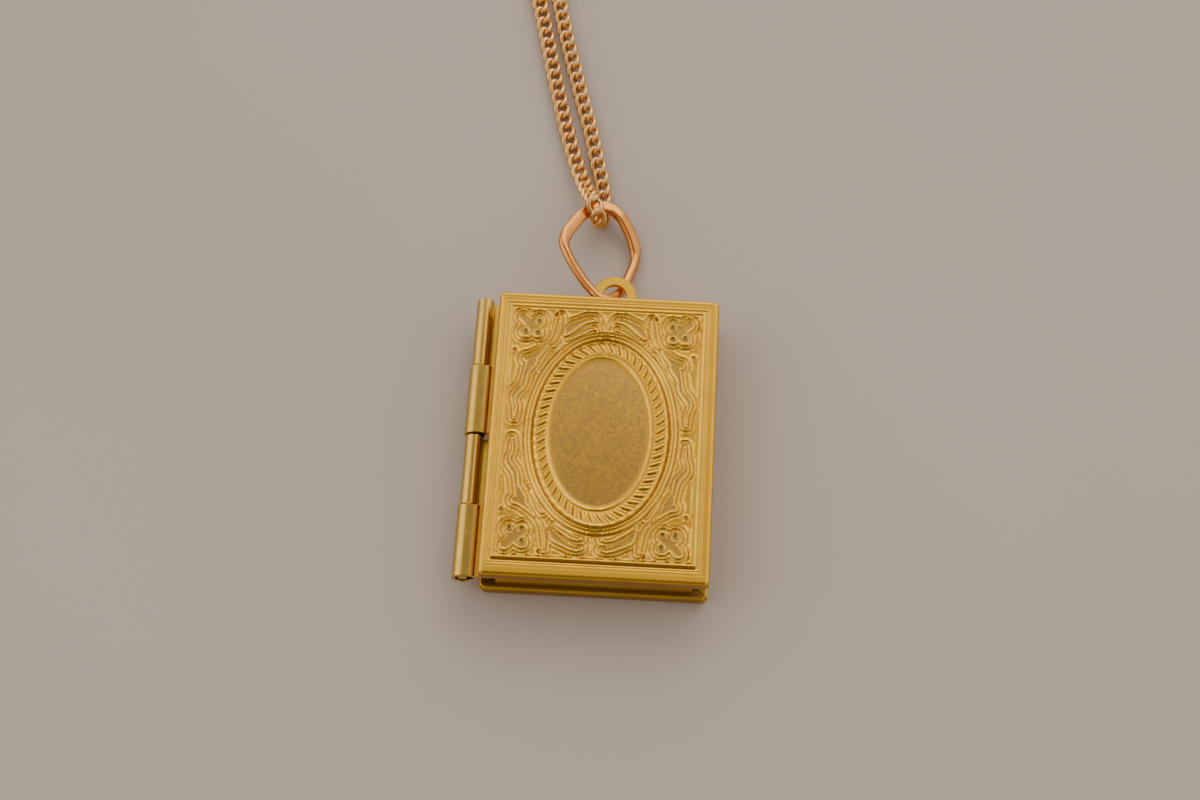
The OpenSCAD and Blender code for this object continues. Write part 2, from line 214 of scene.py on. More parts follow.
def oval_place(x, y, half):
    """Offset out of an oval and the angle of the oval's nearest point."""
    a, b = half
    px, py = np.abs(x), np.abs(y)
    tx, ty = np.full(px.shape, SEARCH_START), np.full(px.shape, SEARCH_START)
    for _ in range(SEARCH_ROUNDS):
        ex, ey = (a * a - b * b) * tx ** 3 / a, (b * b - a * a) * ty ** 3 / b
        r = np.hypot(a * tx - ex, b * ty - ey)
        q = np.hypot(px - ex, py - ey) + OVAL_GUARD
        tx = np.clip(((px - ex) * r / q + ex) / a, 0, 1)
        ty = np.clip(((py - ey) * r / q + ey) / b, 0, 1)
        size = np.hypot(tx, ty)
        tx, ty = tx / size, ty / size
    offset = np.hypot(px - a * tx, py - b * ty)
    inside = (px / a) ** 2 + (py / b) ** 2 < 1
    angle = np.arctan2(np.where(y < 0, -ty, ty), np.where(x < 0, -tx, tx))
    return np.where(inside, -offset, offset), angle


def hump(distance, half_width):
    """1 on a line, falling smoothly to 0 at the half width."""
    share = np.clip(distance / half_width, 0, 1)
    return (1 - share * share) ** 2


def in_quarter(x, y):
    """The same places of the field in the charted quarter."""
    return -np.abs(x - FIELD_SHIFT - FIELD_SHEAR * y), -np.abs(y)


def near_line(x, y, line, reach):
    """Which places lie within reach of a line's box."""
    lo, hi = line[:, :2].min(0) - reach, line[:, :2].max(0) + reach
    return (x > lo[0]) & (x < hi[0]) & (y > lo[1]) & (y < hi[1])


def stamped_lines(x, y):
    """Height of the quarter's single lines and dimples, with raised and sunk ones kept apart."""
    up, down = np.zeros(x.shape), np.zeros(x.shape)
    for half_width, height, points in LINES:
        line = rounded_line(points)
        near = near_line(x, y, line, half_width)
        h = height * hump(line_distance(x[near], y[near], line), half_width)
        if height > 0:
            up[near] = np.maximum(up[near], h)
        else:
            down[near] = np.minimum(down[near], h)
    for px, py, rx, ry in DIMPLES:
        out = (np.hypot((x - px) / rx, (y - py) / ry) - 1) * min(rx, ry)
        down = np.minimum(down, eased(out, DIMPLE_KNOTS))
        ring = hump(np.abs(out - DIMPLE_RING_OFFSET), DIMPLE_RING_HALF_W)
        up = np.maximum(up, DIMPLE_RING_H * ring)
    return up + down


def leaf_offset(x, y):
    """Distance out from the edge of the nearest leaf or petal."""
    x, y = in_quarter(x, y)
    offset = np.full(x.shape, LEAF_FAR)
    for points in LEAVES:
        line = rounded_line(points)
        near = near_line(x, y, line, LEAF_REACH)
        offset[near] = np.minimum(offset[near], line_distance(x[near], y[near], line))
    return offset


def rope_border(offset, angle):
    """Height of the rope's strands over the oval rail, at offsets out of the oval."""
    t = np.linspace(-np.pi, np.pi, OVAL_STEPS)
    steps = np.hypot(np.diff(OVAL[0] * np.cos(t)), np.diff(OVAL[1] * np.sin(t)))
    length = np.concatenate([[0], np.cumsum(steps)])
    total = length[-1]
    along = (np.interp(angle, t, length) - total / 2) % total
    pitch = total / STRANDS
    phase = ((along - STRAND_SLOPE * offset - STRAND_START) / pitch) % 1
    away = np.minimum(phase, 1 - phase) * pitch * np.cos(np.arctan(STRAND_SLOPE))
    slots = SLOT_DEPTH * hump(away, SLOT_HALF_W) * eased(offset, SLOT_SHARE)
    ribs = RIB_H * hump(np.abs(away - RIB_AWAY), RIB_HALF_W) * eased(offset, RIB_SHARE)
    pits = PIT_DEPTH * hump(np.hypot(away, offset - PIT_OFFSET), PIT_R)
    edge = hump(np.abs(offset - SCALLOP_OFFSET), SCALLOP_HALF_W)
    scallops = SCALLOP_H * (1 - hump(away, SCALLOP_HALF_L)) * edge
    return ribs + scallops - pits - slots


def medallion(x, y, offset, angle):
    """Height of the rope border and rails, the lip and the domed middle."""
    lip_offset, _ = oval_place(x - LIP_SHIFT[0], y - LIP_SHIFT[1], LIP)
    inner = eased(lip_offset, LIP_KNOTS)
    outer = eased(offset, RAIL_KNOTS) + rope_border(offset, angle)
    joined = np.maximum(inner, outer * lip_offset / LIP_FOOT)
    ring = np.where(lip_offset < 0, inner, np.where(lip_offset < LIP_FOOT, joined, outer))
    dome = DOME_H - (DOME_H - DOME_EDGE) * ((x / LIP[0]) ** 2 + (y / LIP[1]) ** 2)
    return ring + eased(lip_offset, DOME_SHARE) * dome


def relief(x, y):
    """Height of the stamped front over its ground."""
    offset, angle = oval_place(x, y, OVAL)
    frame_offset = np.maximum(np.abs(x) - FRAME_HALF[0], np.abs(y - FRAME_SHIFT_Y) - FRAME_HALF[1])
    field = eased(offset, FIELD_FROM_OVAL) * eased(frame_offset, FIELD_TO_FRAME)
    lines = stamped_lines(*in_quarter(x, y)) + eased(leaf_offset(x, y), LEAF_KNOTS)
    foot = hump(np.abs(y - FRAME_SHIFT_Y + FRAME_HALF[1]), FOOT_HALF_W)
    foot = foot * (np.abs(x) < FRAME_HALF[0] - FOOT_INSET)
    h = field * np.minimum(lines, LINE_TOP) + medallion(x, y, offset, angle)
    return h + eased(frame_offset, FRAME_KNOTS) - FOOT_DEPTH * foot


# Mesh building


def ring_faces(n, m, looped, closed=True):
    """Quads between n rings of m points; the rings may be in a loop, and each one closed."""
    faces = []
    sides = m if closed else m - 1
    for i in range(n if looped else n - 1):
        a, b = i * m, ((i + 1) % n) * m
        faces += [(a + k, a + (k + 1) % m, b + (k + 1) % m, b + k) for k in range(sides)]
    return faces


class Shape:
    """Points and faces of one piece, collected part by part."""

    def __init__(self):
        self.points, self.faces, self.count = [], [], 0
        self.marks = {"raised": [], "grained": []}

    def add(self, points, faces, **marks):
        """Marks are values for the material, one a point: 0 where nothing is given."""
        points = np.asarray(points, float).reshape(-1, 3)
        self.points.append(points)
        for name, values in self.marks.items():
            given = np.ravel(marks.get(name, ()))
            values.append(np.concatenate([given, np.zeros(len(points) - len(given))]))
        self.faces += [tuple(int(i) + self.count for i in face) for face in faces]
        self.count += len(points)

    def loft(self, rings, looped=False):
        """Skin over closed rings of points; two caps close the ends unless the rings are in a loop."""
        rings = np.asarray(rings, float)
        n, m = rings.shape[:2]
        faces = ring_faces(n, m, looped)
        if not looped:
            faces += [tuple(range(m - 1, -1, -1)), tuple(range((n - 1) * m, n * m))]
        self.add(rings, faces)


def place_mesh(name, shape, material, body, replaced, smooth_limit=SMOOTH_LIMIT):
    """Makes a piece of a shape: it rides on a body and may stand for a CAD node."""
    mesh = bpy.data.meshes.new(name)
    mesh.from_pydata((np.vstack(shape.points) * MM).tolist(), [], shape.faces)
    mesh.validate()
    mesh.shade_smooth()
    mesh.set_sharp_from_angle(angle=smooth_limit)
    mesh.materials.append(material)
    for mark, values in shape.marks.items():
        values = np.concatenate(values)
        if values.any():
            mesh.attributes.new(mark, "FLOAT", "POINT").data.foreach_set("value", values)
    piece = bpy.data.objects.new(name, mesh)
    bpy.context.scene.collection.objects.link(piece)
    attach(piece, body)
    if replaced:
        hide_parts(replaced)
    return piece


# Covers. A band's section is drawn as (inset from the outline, depth from the outer face).

EDGE_R, EDGE_STEPS = 0.38, 7
LIP_R, LIP_STEPS = 0.2, 4
SIDE_DEPTHS = (0.7, 0.95)
BACK_FACE_IN = EDGE_R + 0.1
SLAB_IN = 0.34
WALL_OVERLAP = 0.04
BAND_IN = WALL_IN - WALL_OVERLAP
CLOSING_DEPTH, CLOSING_STEP = 0.2, 0.06
# Page walls' rounded tops: (below the top, drawn in)
WALL_ROUNDING = [(0.08, 0), (0.03, 0.02), (0, 0.07)]
WALL_END_STEPS = 6

CORNERS = [(1, 1), (-1, 1), (-1, -1), (1, -1)]
CORNER_STEPS = 4
MIN_CORNER_R = 0.12
SLIT_HALF, SLIT_DEPTH = 0.05, 0.55
SLIT_START, SLIT_FALL = 0.62, 0.1

# Painted shade: its strength, and the insets between which it lies
SIDE_SHADE, SIDE_IN = 0.9, (-0.1, 0.03)
SHELF_SHADE, SHELF_IN = 1.5, (0.15, 0.7)
SHELF_DEPTH = BAND_H - LIP_R / 4
WALL_SHADE, WALL_OUTSIDE = 1.9, (0.3, RECESS + SHEET / 2)
GAP_SHADE, GAP_IN = 1.5, (-0.6, 1.0)


def edge_drop(inset):
    """How far the outer face has dropped at a distance in from the cover's outline."""
    short = np.clip(EDGE_R - inset, 0, EDGE_R)
    return EDGE_R - np.sqrt(EDGE_R ** 2 - short ** 2)


def plan_inset(x, y):
    """Distance in from the cover's rounded outline."""
    dx = np.abs(x) - (CASE_W / 2 - CORNER_R)
    dy = np.abs(y) - (CASE_L / 2 - CORNER_R)
    corner = np.hypot(np.maximum(dx, 0), np.maximum(dy, 0))
    return CORNER_R - corner - np.minimum(np.maximum(dx, dy), 0)


def arc(radius, start, end, steps):
    """Points of an arc round (0, 0), angles in degrees."""
    a = np.radians(np.linspace(start, end, steps + 1))
    return np.stack([radius * np.cos(a), radius * np.sin(a)], 1)


def rim_section(face_in):
    """Section of the band, from the outer face round to the cavity."""
    edge = arc(EDGE_R, 180, 90, EDGE_STEPS)[::-1] * [1, -1] + [EDGE_R, EDGE_R]
    edge = edge[edge[:, 0] < face_in]
    lip = arc(LIP_R, 180, 90, LIP_STEPS) + [LIP_R, BAND_H - LIP_R]
    face = [[face_in, edge_drop(face_in)]]
    side = [[0, depth] for depth in SIDE_DEPTHS]
    cavity = [[RECESS, BAND_H], [BAND_IN, BAND_H], [BAND_IN, SHEET]]
    return np.array([*face, *edge, *side, *lip, *cavity])


def rim_rings(section):
    """Rings of the band round a cover lying at z = 0, with a slit at each corner."""
    slit = section.copy()
    deep = slit[:, 1] > SLIT_START
    slit[deep, 0] = np.maximum(slit[deep, 0], SLIT_DEPTH)
    slit[deep, 1] = np.minimum(slit[deep, 1], SLIT_START + SLIT_FALL)
    shares = [k / (CORNER_STEPS - 1) for k in range(CORNER_STEPS)]
    stations = [(s, -1, section) for s in shares] + [(1, -1, slit), (1, 1, slit)]
    stations += [(s, 1, section) for s in reversed(shares)]
    rings = []
    for quarter, (sx, sy) in enumerate(CORNERS):
        for share, side, cut in stations:
            ring = []
            for inset, depth in cut:
                r = max(CORNER_R - inset, MIN_CORNER_R)
                half = 45 - math.degrees(math.asin(SLIT_HALF / r))
                a = math.radians(90 * quarter + (share * half if side < 0 else 90 - share * half))
                cx, cy = CASE_W / 2 - inset - r, CASE_L / 2 - inset - r
                ring.append([sx * cx + r * math.cos(a), sy * cy + r * math.sin(a), depth])
            rings.append(ring)
    return np.array(rings)


def add_rim(shape, face_in, closed):
    """Band of a cover: its section closes on itself, or flat faces fill the outside and the inside."""
    section = rim_section(face_in)
    if closed:
        under = [[BAND_IN, CLOSING_DEPTH], [face_in + CLOSING_STEP, CLOSING_DEPTH]]
        shape.loft(rim_rings(np.vstack([section, under])), looped=True)
        return
    rings = rim_rings(section)
    n, m = rings.shape[:2]
    faces = ring_faces(n, m, looped=True, closed=False)
    faces.append(tuple(i * m for i in range(n - 1, -1, -1)))
    faces.append(tuple(i * m + m - 1 for i in range(n)))
    shape.add(rings, [f[::-1] for f in faces])


def stadium(length, width):
    """Outline of a bar with round ends, along x."""
    right = arc(width / 2, -90, 90, WALL_END_STEPS) + [length / 2 - width / 2, 0]
    left = arc(width / 2, 90, 270, WALL_END_STEPS) - [length / 2 - width / 2, 0]
    return np.vstack([right, left])


def add_prism(shape, outline, levels):
    """Straight body over an outline, at levels of (z, how far the outline is drawn in)."""
    before, after = np.roll(outline, 1, 0), np.roll(outline, -1, 0)
    along = after - before
    out = np.stack([along[:, 1], -along[:, 0]], 1)
    out /= np.linalg.norm(out, axis=1)[:, None]
    rings = [np.column_stack([outline - out * inset, np.full(len(outline), z)]) for z, inset in levels]
    shape.loft(rings)


def add_page_walls(shape):
    """Four straight walls behind the band, open at the corners."""
    top = PART_Z - SHUT_GAP / 2
    levels = [(SHEET / 2, 0)] + [(top - below, inset) for below, inset in WALL_ROUNDING]
    middle = RECESS + SHEET / 2
    sides = [(CASE_W, CASE_L / 2 - middle, False), (CASE_L, CASE_W / 2 - middle, True)]
    for length, at, turned in sides:
        bar = stadium(length - 2 * (RECESS + CORNER_GAP), SHEET)
        for side in (-1, 1):
            moved = bar + [0, side * at]
            if turned:
                moved = np.stack([-moved[:, 1], moved[:, 0]], 1)
            add_prism(shape, moved, levels)


def paint_shade(shape, first, strength, insets, lowest=0):
    """Paints shade: darkens the parts added from a given one on, between two insets and from a height up.
    """
    for points, raised in zip(shape.points[first:], shape.marks["raised"][first:]):
        inset = plan_inset(points[:, 0], points[:, 1])
        raised[(inset > insets[0]) & (inset < insets[1]) & (points[:, 2] >= lowest)] = -strength


def make_tray(face_in, closed):
    """Band and page walls of a cover that lies on its face at z = 0, with shade painted into its
    recesses.
    """
    tray = Shape()
    add_rim(tray, face_in, closed)
    # Painted shade on the band's outer side and on the shelf under the lip
    paint_shade(tray, 0, SIDE_SHADE, SIDE_IN)
    paint_shade(tray, 0, SHELF_SHADE, SHELF_IN, SHELF_DEPTH)
    walls = len(tray.points)
    add_page_walls(tray)
    # Painted shade on the page walls' outer faces
    paint_shade(tray, walls, WALL_SHADE, WALL_OUTSIDE)
    return tray


def flip_over(shape):
    """Turns a tray that lies on its face into the front cover's."""
    shape.points = [p * [1, 1, -1] + [0, 0, GROUND_Z + MARGIN_H] for p in shape.points]
    shape.faces = [f[::-1] for f in shape.faces]


# Hinge. Each knuckle is sheet that runs in as a leaf and rolls round the pin; sections are (x, z)
# from the axis, angles in degrees.

AXIS_X, AXIS_Z = -CASE_W / 2 - 1.35, CASE_T / 2
HINGE_L, HINGE_MID_Y, KNUCKLES = 25.8, 0.15, 4
KNUCKLE_GAP = 0.1
BACK_KNUCKLE_R, FRONT_KNUCKLE_R = 0.75, 0.9
BACK_LEAF, FRONT_LEAF = 0.72, 0.65
LEAF_END_X = -CASE_W / 2 + RECESS + SHEET / 2
CURL_SHEET, CURL_BEVEL = 0.3, 0.05
CURL_STEPS, CURL_END = 40, 366
BEND_LEAD, BEND_ANGLE = 0.1, 4
SHOULDER_END = 82
# The front leaf's rounded shoulder: outer point, inner point
SHOULDER = [
    ((1.12, 0.65), (1.12, 0.35)),
    ((1.05, 0.655), (0.98, 0.37)),
    ((0.99, 0.68), (0.86, 0.42)),
    ((0.92, 0.73), (0.76, 0.47)),
    ((0.82, 0.79), (0.66, 0.515)),
    ((0.66, 0.84), (0.52, 0.555)),
    ((0.45, 0.875), (0.38, 0.585)),
    ((0.25, 0.895), (0.22, 0.6)),
]


def knuckle_section(leaf_level, radius, bends, start):
    """Outer and inner lines of a knuckle's sheet: the leaf's end, its bend and the roll."""
    a = np.radians(np.linspace(start, CURL_END, CURL_STEPS + 1))
    roll = np.stack([np.cos(a), np.sin(a)], 1)
    return [
        np.vstack([[[LEAF_END_X - AXIS_X, leaf_level - inward]], bend, (radius - inward) * roll])
        for inward, bend in zip((0, CURL_SHEET), bends)
    ]


def back_section():
    """The leaf runs in below the pin."""
    start = math.degrees(math.asin(BACK_LEAF / BACK_KNUCKLE_R))
    bend_x = BACK_KNUCKLE_R * math.cos(math.radians(start)) + BEND_LEAD
    bends = [[[bend_x, BACK_LEAF]], [[bend_x, BACK_LEAF - CURL_SHEET]]]
    outer, inner = knuckle_section(BACK_LEAF, BACK_KNUCKLE_R, bends, start + BEND_ANGLE)
    return outer * [1, -1], inner * [1, -1]


def front_section():
    """The leaf runs in above the pin, over a rounded shoulder."""
    bends = [[outer for outer, _ in SHOULDER], [inner for _, inner in SHOULDER]]
    return knuckle_section(FRONT_LEAF, FRONT_KNUCKLE_R, bends, SHOULDER_END)


def add_curl(shape, section, upward, y_top, length):
    """One knuckle along y, with its ends bevelled."""
    outer, inner = section
    mid = (outer + inner) / 2
    thinned = 1 - 2 * CURL_BEVEL / CURL_SHEET
    rings = []
    for y, share in ((0, thinned), (CURL_BEVEL, 1), (length - CURL_BEVEL, 1), (length, thinned)):
        line = np.vstack([mid + (outer - mid) * share, (mid + (inner - mid) * share)[::-1]])
        x, z = (line + [AXIS_X, AXIS_Z]).T
        rings.append(np.column_stack([x, np.full(len(x), y_top - y), z]))
    n, m = len(rings), len(rings[0])
    faces = ring_faces(n, m, looped=False)
    for base, flip in ((0, False), ((n - 1) * m, True)):
        for k in range(m // 2 - 1):
            quad = (base + k, base + m - 1 - k, base + m - 2 - k, base + k + 1)
            faces.append(quad[::-1] if flip else quad)
    if upward:
        faces = [f[::-1] for f in faces]
    shape.add(np.vstack(rings), faces)


def add_knuckles(shape, first, section, upward):
    """Every second knuckle, counted from the loop end."""
    pitch = HINGE_L / KNUCKLES
    for k in range(first, KNUCKLES, 2):
        y_top = HINGE_MID_Y + HINGE_L / 2 - k * pitch - KNUCKLE_GAP / 2
        add_curl(shape, section, upward, y_top, pitch - KNUCKLE_GAP)


# Loop tab

LOOP_AT = (0.35, CASE_L / 2 + 1.33, 2.15)
LOOP_R, LOOP_HOLE_R, LOOP_T, LOOP_NECK_W = 1.92, 1.05, 0.4, 2.4
LOOP_BEVEL = 0.07
LOOP_STEPS = 96
NECK_SINE, SINE_GUARD = -0.1, 1e-6


def add_loop_tab(shape):
    """Ring of sheet whose neck reaches in to the page wall."""
    a = np.radians(np.arange(LOOP_STEPS) * 360 / LOOP_STEPS)
    c, s = np.cos(a), np.sin(a)
    foot = LOOP_AT[1] - (CASE_L / 2 - RECESS - SHEET / 2)
    reach = np.full(LOOP_STEPS, LOOP_R)
    down = s < NECK_SINE
    neck = np.minimum(
        LOOP_NECK_W / 2 / np.maximum(np.abs(c), SINE_GUARD), foot / np.maximum(-s, SINE_GUARD))
    reach[down] = np.minimum(np.maximum(reach[down], neck[down]), foot / -s[down])
    top, b = LOOP_T / 2, LOOP_BEVEL
    rings = []
    for k in range(LOOP_STEPS):
        out, hole = reach[k], LOOP_HOLE_R
        section = [
            (hole + b, top), (out - b, top), (out, top - b), (out, b - top),
            (out - b, -top), (hole + b, -top), (hole, b - top), (hole, top - b)]
        rings.append([(LOOP_AT[0] + r * c[k], LOOP_AT[1] + r * s[k], LOOP_AT[2] + z) for r, z in section])
    shape.loft(rings, looped=True)


# Front face

GRID_STEP = 0.07
RAISED_SPREAD, RAISED_FULL = 20, 0.05
MEDAL_GRAIN = [(-0.6, 1), (-0.1, 0)]
LEAF_GRAIN = 0.8


def soften(grid, times):
    """The grid smoothed by repeated three-point means along both axes."""
    for _ in range(times):
        padded = np.pad(grid, 1, mode="edge")
        grid = (
            padded[:-2, 1:-1] + padded[2:, 1:-1] + padded[1:-1, :-2] + padded[1:-1, 2:] + 4 * grid) / 8
    return grid


def add_stamped_slab(shape):
    """The front cover's plate: the stamped face, a short skirt and the flat inside."""
    half_x, half_y = CASE_W / 2 - SLAB_IN, CASE_L / 2 - SLAB_IN
    xs = np.linspace(-half_x, half_x, int(2 * half_x / GRID_STEP) + 1)
    ys = np.linspace(-half_y, half_y, int(2 * half_y / GRID_STEP) + 1)
    x, y = np.meshgrid(xs, ys)
    pattern_x, pattern_y = x - PATTERN_MIDDLE[0], y - PATTERN_MIDDLE[1]
    stamped = relief(pattern_x, pattern_y)
    # Height over the softened relief: what stands up gets painted highlight, what is sunk gets patina
    # with painted shade.
    raised = np.clip((stamped - soften(stamped, RAISED_SPREAD)) / RAISED_FULL, -1, 1)
    lip_offset, _ = oval_place(pattern_x - LIP_SHIFT[0], pattern_y - LIP_SHIFT[1], LIP)
    leaves = eased(leaf_offset(pattern_x, pattern_y), LEAF_SHARE)
    grained = np.maximum(eased(lip_offset, MEDAL_GRAIN), LEAF_GRAIN * leaves)
    z = np.minimum(GROUND_Z + stamped - edge_drop(plan_inset(x, y)), CASE_T)
    rows, cols = x.shape
    points = np.stack([x, y, z], -1).reshape(-1, 3)
    k = np.arange(rows * cols).reshape(rows, cols)
    faces = np.stack([k[:-1, :-1], k[:-1, 1:], k[1:, 1:], k[1:, :-1]], -1).reshape(-1, 4).tolist()
    border = np.concatenate([k[0, :-1], k[:-1, -1], k[-1, :0:-1], k[:0:-1, 0]])
    under = points[border]
    under[:, 2] = GROUND_Z - SHEET
    base, n = len(points), len(border)
    for i in range(n):
        j = (i + 1) % n
        faces.append((border[i], base + i, base + j, border[j]))
    faces.append(tuple(base + i for i in range(n - 1, -1, -1)))
    shape.add(np.vstack([points, under]), faces, raised=raised, grained=grained)


# Materials

# Each metal has its tone, a darker one for blotches, specks, grain, patina and painted shade, and a
# brighter one for painted highlight with some rubbed wear.
BRASS = (0.91, 0.485, 0.018, 1)
BRASS_DARK = (0.27, 0.16, 0.06, 1)
BRASS_BRIGHT = (0.99, 0.60, 0.035, 1)
HINGE_BRASS = (1.0, 0.64, 0.10, 1)
HINGE_DARK = (0.44, 0.275, 0.07, 1)
PIN_BRASS = (0.62, 0.42, 0.14, 1)
COPPER = (0.73, 0.31, 0.07, 1)
COPPER_DARK = (0.62, 0.25, 0.08, 1)
COPPER_BRIGHT = (0.86, 0.44, 0.12, 1)
CHAIN_BRIGHT = (0.90, 0.60, 0.26, 1)
CHAIN_GOLD = (0.83, 0.42, 0.10, 1)
CHAIN_DARK = (0.64, 0.29, 0.09, 1)

# Noises: size in mm, detail, roughness
SPECK = (0.16, 3, 0.7)
GRAIN_TONE, GRAIN_BUMP = (0.4, 5, 0.8), (0.2, 4, 0.75)
SAND, STREAK = (0.07, 3, 0.65), (0.12, 4, 0.6)
CLOUD_DETAIL = (5, 0.6)
# What is read, and the share of the darker or brighter tone that it gives
CLOUD_TONE = (0.3, 0.7), (0, 0.35)
SPECK_TONE = (0.35, 0.8), (0, 0.2)
# Creases and sunk places take the darker tone: patina with painted shade.
HOLLOW_TONE = (0.42, 0.50), (0.6, 0)
SUNK_TONE = (-2.0, 0.0), (1.15, 0)
GRAIN_SPAN = (0.35, 0.65), (0.45, 0.9)
# Edges and raised lines take the brighter tone: painted highlight with some rubbed wear.
RIDGE_TONE = (0.52, 0.60), (0, 0.5)
RAISED_TONE = (0.1, 0.9), (0, 0.6)
# What is read, and what it adds to the roughness
CLOUD_ROUGH = (0.3, 0.7), (-0.05, 0.06)
SPECK_ROUGH = (0.3, 0.7), (-0.03, 0.03)
RAISED_ROUGH = (-0.6, 0.8), (0.08, -0.1)
GRAIN_MM, STREAK_MM = 0.03, 0.004

FLOOR_PALE = (0.51, 0.44, 0.383, 1)
FLOOR_GREY = (0.478, 0.412, 0.356, 1)
FLOOR_NEAR = (0.50, 0.433, 0.377, 1)
FLOOR_CLOUD, FLOOR_GRAIN, FLOOR_GRAIN_MM = (60, 3, 0.55), (0.5, 4, 0.55), 0.01
FLOOR_NEAR_Y = (-0.07, 0.03), (1, 0)
FLOOR_ROUGH = 0.85


class Nodes:
    """Short calls for building a material's node tree."""

    def __init__(self, name):
        self.material = bpy.data.materials.new(name)
        self.material.use_nodes = True
        self.tree = self.material.node_tree
        self.shader = self.tree.nodes["Principled BSDF"]
        self.where = self.tree.nodes.new("ShaderNodeTexCoord").outputs["Object"]

    def link(self, source, target):
        self.tree.links.new(source, target)

    def noise(self, size_mm, detail, rough, stretch=(1, 1, 1)):
        mapping = self.tree.nodes.new("ShaderNodeMapping")
        mapping.inputs["Scale"].default_value = [s / (size_mm * MM) for s in stretch]
        self.link(self.where, mapping.inputs["Vector"])
        noise = self.tree.nodes.new("ShaderNodeTexNoise")
        noise.inputs["Scale"].default_value = 1
        noise.inputs["Detail"].default_value = detail
        noise.inputs["Roughness"].default_value = rough
        self.link(mapping.outputs["Vector"], noise.inputs["Vector"])
        return noise.outputs["Fac"]

    def ramp(self, source, read, given):
        """Maps a range of the source to a range of results, held at both ends."""
        node = self.tree.nodes.new("ShaderNodeMapRange")
        self.link(source, node.inputs["Value"])
        for key, value in zip(("From Min", "From Max", "To Min", "To Max"), (*read, *given)):
            node.inputs[key].default_value = value
        return node.outputs["Result"]

    def blend(self, share, first, second):
        """Mixes two colours, each a tuple or another node's output."""
        node = self.tree.nodes.new("ShaderNodeMix")
        node.data_type = "RGBA"
        self.link(share, node.inputs["Factor"])
        for socket, value in ((node.inputs["A"], first), (node.inputs["B"], second)):
            if isinstance(value, tuple):
                socket.default_value = value
            else:
                self.link(value, socket)
        return node.outputs["Result"]

    def combine(self, kind, first, second):
        node = self.tree.nodes.new("ShaderNodeMath")
        node.operation = kind
        self.link(first, node.inputs[0])
        self.link(second, node.inputs[1])
        return node.outputs["Value"]

    def mark(self, name):
        """A value that place_mesh() wrote to the points."""
        node = self.tree.nodes.new("ShaderNodeAttribute")
        node.attribute_name = name
        return node.outputs["Fac"]

    def bump(self, source, height_mm, after=None):
        node = self.tree.nodes.new("ShaderNodeBump")
        node.inputs["Strength"].default_value = 1
        node.inputs["Distance"].default_value = height_mm * MM
        self.link(source, node.inputs["Height"])
        if after is not None:
            self.link(after, node.inputs["Normal"])
        return node.outputs["Normal"]


def metal(name, colour, dark, bright, roughness, sand_mm, streak=None, blotch_mm=1.6):
    """Satin metal: cloudy tone and sandy grain; where marked, high lines and edges take painted highlight
    with some rubbed wear, and hollows take patina with painted shade.
    """
    n = Nodes(name)
    n.shader.inputs["Metallic"].default_value = 1
    cloud = n.noise(blotch_mm, *CLOUD_DETAIL)
    speck = n.noise(*SPECK)
    raised, grained = n.mark("raised"), n.mark("grained")
    pointed = n.tree.nodes.new("ShaderNodeNewGeometry").outputs["Pointiness"]

    tone = n.blend(n.ramp(cloud, *CLOUD_TONE), colour, dark)
    tone = n.blend(n.ramp(speck, *SPECK_TONE), tone, dark)
    # Creases take the dark tone: patina with painted shade
    tone = n.blend(n.ramp(pointed, *HOLLOW_TONE), tone, dark)
    # Sunk places take the dark tone: patina with painted shade; where the covers' recesses and the
    # knuckles' gap are marked, painted shade only
    tone = n.blend(n.ramp(raised, *SUNK_TONE), tone, dark)
    grain = n.combine("MULTIPLY", grained, n.ramp(n.noise(*GRAIN_TONE), *GRAIN_SPAN))
    tone = n.blend(grain, tone, dark)
    # Edges and raised lines take the bright tone: painted highlight with some rubbed wear
    highlight_and_wear = n.combine("MAXIMUM", n.ramp(pointed, *RIDGE_TONE), n.ramp(raised, *RAISED_TONE))
    tone = n.blend(highlight_and_wear, tone, bright)
    n.link(tone, n.shader.inputs["Base Color"])

    read, (smoother, rougher) = CLOUD_ROUGH
    rough = n.ramp(cloud, read, (roughness + smoother, roughness + rougher))
    rough = n.combine("ADD", rough, n.ramp(speck, *SPECK_ROUGH))
    rough = n.combine("ADD", rough, n.ramp(raised, *RAISED_ROUGH))
    n.link(rough, n.shader.inputs["Roughness"])

    normal = n.bump(n.noise(*SAND), sand_mm)
    normal = n.bump(n.combine("MULTIPLY", grained, n.noise(*GRAIN_BUMP)), GRAIN_MM, normal)
    if streak:
        normal = n.bump(n.noise(*STREAK, streak), STREAK_MM, normal)
    n.link(normal, n.shader.inputs["Normal"])
    return n.material


def floor_material():
    """Pale surface with faint clouds that fade out in front of the case."""
    n = Nodes("pale_floor")
    split = n.tree.nodes.new("ShaderNodeSeparateXYZ")
    n.link(n.where, split.inputs[0])
    cloud = n.ramp(n.noise(*FLOOR_CLOUD), (0.35, 0.65), (0, 1))
    tone = n.blend(cloud, FLOOR_PALE, FLOOR_GREY)
    tone = n.blend(n.ramp(split.outputs["Y"], *FLOOR_NEAR_Y), tone, FLOOR_NEAR)
    n.link(tone, n.shader.inputs["Base Color"])
    n.shader.inputs["Roughness"].default_value = FLOOR_ROUGH
    n.link(n.bump(n.noise(*FLOOR_GRAIN), FLOOR_GRAIN_MM), n.shader.inputs["Normal"])
    return n.material


